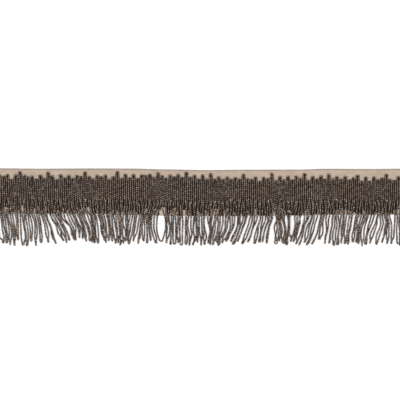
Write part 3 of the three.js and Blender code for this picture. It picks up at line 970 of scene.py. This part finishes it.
def ribbon_mesh():
    """The woven ribbon: a thin sheet with firm, slightly raised selvedges and two cut ends."""
    columns = np.linspace(-TRIM_LENGTH / 2, TRIM_LENGTH / 2, RIBBON_COLUMNS)
    along, share = np.meshgrid(columns, RIBBON_ROWS)
    upper = read_table(RIBBON_EDGES, along, "upper")
    lower = read_table(RIBBON_EDGES, along, "lower") - RIBBON_TRIM
    edge = np.minimum(share, 1 - share) * RIBBON_WIDTH
    x = PLAN_X + along
    y = PLAN_TOP - (upper + (lower - upper) * share)
    points = np.concatenate([np.stack([x, y, z], -1).reshape(-1, 3) for z in ribbon_heights(along, edge)])
    face = np.arange(x.size).reshape(x.shape)
    back = face + x.size
    rim = np.concatenate([face[0, :-1], face[:-1, -1], face[-1, :0:-1], face[:0:-1, 0]])
    after = np.roll(rim, -1)
    quads = [
        np.stack([face[1:, :-1], face[1:, 1:], face[:-1, 1:], face[:-1, :-1]], -1).reshape(-1, 4),
        np.stack([back[1:, :-1], back[:-1, :-1], back[:-1, 1:], back[1:, 1:]], -1).reshape(-1, 4),
        np.stack([rim, after, after + x.size, rim + x.size], -1),
    ]
    piece = mesh_object("woven_ribbon", points, np.concatenate(quads))
    point_attribute(piece, "selvedge", np.tile(np.exp(-((edge / BORDER_WIDTH) ** 2)).ravel(), 2))
    return piece


def principled(name):
    """A new material, its node tree and its shader."""
    material = bpy.data.materials.new(name)
    material.use_nodes = True
    return material, material.node_tree, material.node_tree.nodes["Principled BSDF"]


def attribute_value(tree, name):
    node = tree.nodes.new("ShaderNodeAttribute")
    node.attribute_name = name
    return node.outputs["Fac"]


def ramp(tree, value, stops):
    """Colour that follows a value, from stops of a position and a colour."""
    node = tree.nodes.new("ShaderNodeValToRGB")
    elements = node.color_ramp.elements
    while len(elements) < len(stops):
        elements.new(0.5)
    for element, (position, colour) in zip(elements, stops):
        element.position = position
        element.color = (*colour, 1)
    tree.links.new(value, node.inputs["Fac"])
    return node.outputs["Color"]


def multiplied(tree, first, second):
    """Product of two colours."""
    mix = tree.nodes.new("ShaderNodeMix")
    mix.data_type = "RGBA"
    mix.blend_type = "MULTIPLY"
    mix.inputs["Factor"].default_value = 1.0
    tree.links.new(first, mix.inputs[MIX_FIRST])
    tree.links.new(second, mix.inputs[MIX_SECOND])
    return mix.outputs[MIX_RESULT]


def bead_material(name, lightness, contrast):
    """Dark bronze-grey glass beads with a metallic lustre, each a little different."""
    material, tree, shader = principled(name)
    stops = []
    for tone in BEAD_TONES:
        colour = np.array([tone.red, tone.green, tone.blue])
        stops.append((tone.at, colour * lightness * (tone.green / MIDDLE_GREEN) ** (contrast - 1)))
    shade = attribute_value(tree, "shade")
    tint = ramp(tree, attribute_value(tree, "hue"), BEAD_TINTS)
    tree.links.new(multiplied(tree, ramp(tree, shade, stops), tint), shader.inputs["Base Color"])
    roughness = ramp(tree, shade, [(at, (rough, rough, rough)) for at, rough in BEAD_ROUGHNESS])
    tree.links.new(roughness, shader.inputs["Roughness"])
    shader.inputs["Metallic"].default_value = BEAD_LUSTRE
    return material


def painted_shade_thread_material():
    """Dull dark thread, a little mottled, its tones far darker than the thread's own: painted shade for the
    shaded gaps between the bead rows.
    """
    material, tree, shader = principled("bead_thread_painted_shade")
    noise = tree.nodes.new("ShaderNodeTexNoise")
    noise.inputs["Scale"].default_value = 900
    tree.links.new(ramp(tree, noise.outputs["Fac"], PAINTED_SHADE_THREAD_TONES), shader.inputs["Base Color"])
    shader.inputs["Roughness"].default_value = 0.8
    shader.inputs["Specular IOR Level"].default_value = 0.12
    return material


def ribbon_colour(tree, place):
    """The ribbon's tan, mottled in short streaks along it, and browner along its selvedges."""
    stretch = tree.nodes.new("ShaderNodeMapping")
    stretch.inputs["Scale"].default_value = (0.35, 1, 1)
    tree.links.new(place, stretch.inputs["Vector"])
    mottle = tree.nodes.new("ShaderNodeTexNoise")
    mottle.inputs["Scale"].default_value = 380
    mottle.inputs["Detail"].default_value = 4
    mottle.inputs["Roughness"].default_value = 0.65
    tree.links.new(stretch.outputs["Vector"], mottle.inputs["Vector"])
    tones = ramp(tree, mottle.outputs["Fac"], RIBBON_TONES)
    return multiplied(tree, tones, ramp(tree, attribute_value(tree, "selvedge"), SELVEDGE_TINTS))


def ribbon_weave(tree, place):
    """Fine ribs both ways, as a bump."""
    weave = tree.nodes.new("ShaderNodeMath")
    weave.operation = "MAXIMUM"
    for socket, (direction, pitch) in zip(weave.inputs, RIB_PITCHES):
        rib = tree.nodes.new("ShaderNodeTexWave")
        rib.bands_direction = direction
        rib.inputs["Scale"].default_value = WAVE_UNIT / (pitch * MM)
        rib.inputs["Distortion"].default_value = 0.6
        tree.links.new(place, rib.inputs["Vector"])
        tree.links.new(rib.outputs["Fac"], socket)
    bump = tree.nodes.new("ShaderNodeBump")
    bump.inputs["Strength"].default_value = 0.5
    bump.inputs["Distance"].default_value = 0.0001
    tree.links.new(weave.outputs["Value"], bump.inputs["Height"])
    return bump.outputs["Normal"]


def ribbon_material():
    """Tan woven ribbon."""
    material, tree, shader = principled("ribbon_weave")
    place = tree.nodes.new("ShaderNodeTexCoord").outputs["Object"]
    tree.links.new(ribbon_colour(tree, place), shader.inputs["Base Color"])
    tree.links.new(ribbon_weave(tree, place), shader.inputs["Normal"])
    shader.inputs["Roughness"].default_value = 0.82
    shader.inputs["Sheen Weight"].default_value = 0.15
    return material


def add_stage():
    """A plain white surface, with plain soft light."""
    bpy.ops.mesh.primitive_plane_add(size=FLOOR_SIZE, location=(0, 0, -FLOOR_GAP))
    floor = bpy.context.active_object
    floor.name = "table_top"
    material, _, shader = principled("plain_white")
    shader.inputs["Base Color"].default_value = (0.72, 0.72, 0.72, 1)
    shader.inputs["Roughness"].default_value = 0.9
    shader.inputs["Specular IOR Level"].default_value = 0.1
    floor.data.materials.append(material)
    world = bpy.data.worlds.new("soft_room")
    world.use_nodes = True
    background = world.node_tree.nodes["Background"]
    background.inputs["Color"].default_value = (1, 1, 1, 1)
    background.inputs["Strength"].default_value = ROOM_LIGHT
    bpy.context.scene.world = world
    lamp = bpy.data.lights.new("soft_lamp", "AREA")
    lamp.shape = "DISK"
    lamp.size = LAMP_SIZE
    lamp.energy = LAMP_WATTS
    light = bpy.data.objects.new("soft_lamp", lamp)
    light.location = (0, -LAMP_NEARER, LAMP_HEIGHT)
    light.rotation_euler = (math.atan2(LAMP_NEARER, LAMP_HEIGHT), 0, 0)
    bpy.context.scene.collection.objects.link(light)
    bpy.context.scene.view_settings.view_transform = "Standard"


def add_camera():
    """Straight down on the trim, from far off, with the photograph's framing."""
    middle_along = (PICTURE / 2 - MIDDLE_PIXEL) * PIXEL
    middle_drop = (PICTURE / 2 - UPPER_EDGE_PIXEL) * PIXEL
    height = PICTURE * PIXEL * LENS / SENSOR
    data = bpy.data.cameras.new("camera")
    data.lens = LENS
    data.sensor_width = SENSOR
    data.clip_end = FAR_CLIP
    camera = bpy.data.objects.new("camera", data)
    camera.location = ((PLAN_X + middle_along) * MM, (PLAN_TOP - middle_drop) * MM, height * MM)
    bpy.context.scene.collection.objects.link(camera)
    bpy.context.scene.camera = camera


def add_ribbon(material):
    piece = ribbon_mesh()
    piece.data.materials.append(material)
    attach(piece, "root")
    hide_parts("ribbon")


def add_beads(strings):
    """All the beads, in a few pieces, so that none grows too large."""
    centres = np.concatenate([beads[:, XYZ] for beads in strings])
    drops = np.concatenate([beads[:, DROP] for beads in strings])
    pairs = np.concatenate([np.full(len(beads), pair) for pair, beads in enumerate(strings)])
    frames = [frames_along(beads[:, XYZ], closed=True) for beads in strings]
    tangents, ups, sides = (np.concatenate(vectors) for vectors in zip(*frames))
    stitched = drops < STITCH_DROP
    half = PAIR_COUNT / 2
    third = PAIR_COUNT / 3
    groups = {
        "stitched_beads_left": stitched & (pairs < half),
        "stitched_beads_right": stitched & (pairs >= half),
        "loop_beads_left": ~stitched & (pairs < third),
        "loop_beads_middle": ~stitched & (pairs >= third) & (pairs < 2 * third),
        "loop_beads_right": ~stitched & (pairs >= 2 * third),
    }
    stitched_finish = bead_material("bead_lustre", ROW_LIGHTNESS, ROW_CONTRAST)
    # A lighter copy of the same beads for the loops: painted light.
    loop_finish_painted_lighter = bead_material("bead_lustre_painted_lighter", LOOP_PAINTED_LIGHTNESS, LOOP_CONTRAST)
    for name, chosen in groups.items():
        piece = bead_mesh(name, centres[chosen], tangents[chosen], ups[chosen], sides[chosen])
        on_ribbon = name.startswith("stitched")
        piece.data.materials.append(stitched_finish if on_ribbon else loop_finish_painted_lighter)
        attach(piece, "root")
        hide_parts("bead_rows" if on_ribbon else "loop_fringe")


def add_threads(strings, material):
    """The threads through the beads, each drawn on past its first bead to close its ring."""
    lines = [np.concatenate([beads[:, XYZ], beads[:1, XYZ]]) for beads in strings]
    piece = thread_mesh("stringing_threads", lines, THREAD_WIDTH, THREAD_WIDTH)
    piece.data.materials.append(material)
    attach(piece, "root")


def stitch_runs(along, top, foot):
    """Stretches of a stitching thread, left out where the bare ribbon shows."""
    runs = []
    start = top
    for glimpse in GLIMPSES:
        if abs(along - glimpse.along) < BARE_MARGIN + glimpse.open * BARE_SHARE:
            runs.append((start, min(foot, glimpse.drop + RANDOM.uniform(*STITCH_END_JITTER))))
            start = glimpse.to_drop + RANDOM.uniform(*STITCH_END_JITTER)
    runs.append((start, foot))
    return [run for run in runs if run[1] - run[0] > SHORTEST_STITCH]


def add_painted_shade_stitching(crowns, material):
    """The dark stitching that holds the rows: threads laid side by side on the ribbon, under the beads,
    covering it as painted shade in the gaps between the rows.
    """
    lines = []
    row_count = 2 * PAIR_COUNT * STITCHES_PER_ROW
    furthest = (TRIM_LENGTH - STITCH_WIDTH) / 2
    for row in range(row_count):
        along = (row - (row_count - 1) / 2) * ROW_PITCH / STITCHES_PER_ROW
        pair = int(np.clip(round(along / PAIR_PITCH + (PAIR_COUNT - 1) / 2), 0, PAIR_COUNT - 1))
        aside = abs(along - pair_middle(pair)) / ROW_PITCH
        top = crowns[pair] + STITCH_BELOW_CROWN + STITCH_BELOW_BESIDE * aside
        short = STITCH_SHORT * RANDOM.uniform() ** STITCH_SHORT_RARITY
        for start, end in stitch_runs(along, top, ribbon_width(along) - RIBBON_TRIM - short):
            count = max(int((end - start) / STITCH_STEP), FEWEST_POINTS)
            drops = np.linspace(start, end, count)
            places = along + row_drift(along, drops) + RANDOM.normal(0, STITCH_JITTER, count)
            x, y = on_plan(np.clip(places, -furthest, furthest), drops)
            lines.append(np.stack([x, y, np.full(count, RIBBON_THICKNESS + STITCH_LIFT)], 1))
    piece = thread_mesh("row_stitching_painted_shade", lines, STITCH_WIDTH, STITCH_HEIGHT)
    piece.data.materials.append(material)
    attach(piece, "root")


add_camera()
add_stage()
add_ribbon(ribbon_material())
crown_places = crown_drops()
bead_strings = string_beads(crown_places)
settle(bead_strings)
add_beads(bead_strings)
thread_finish_painted_shade = painted_shade_thread_material()
add_threads(bead_strings, thread_finish_painted_shade)
add_painted_shade_stitching(crown_places, thread_finish_painted_shade)
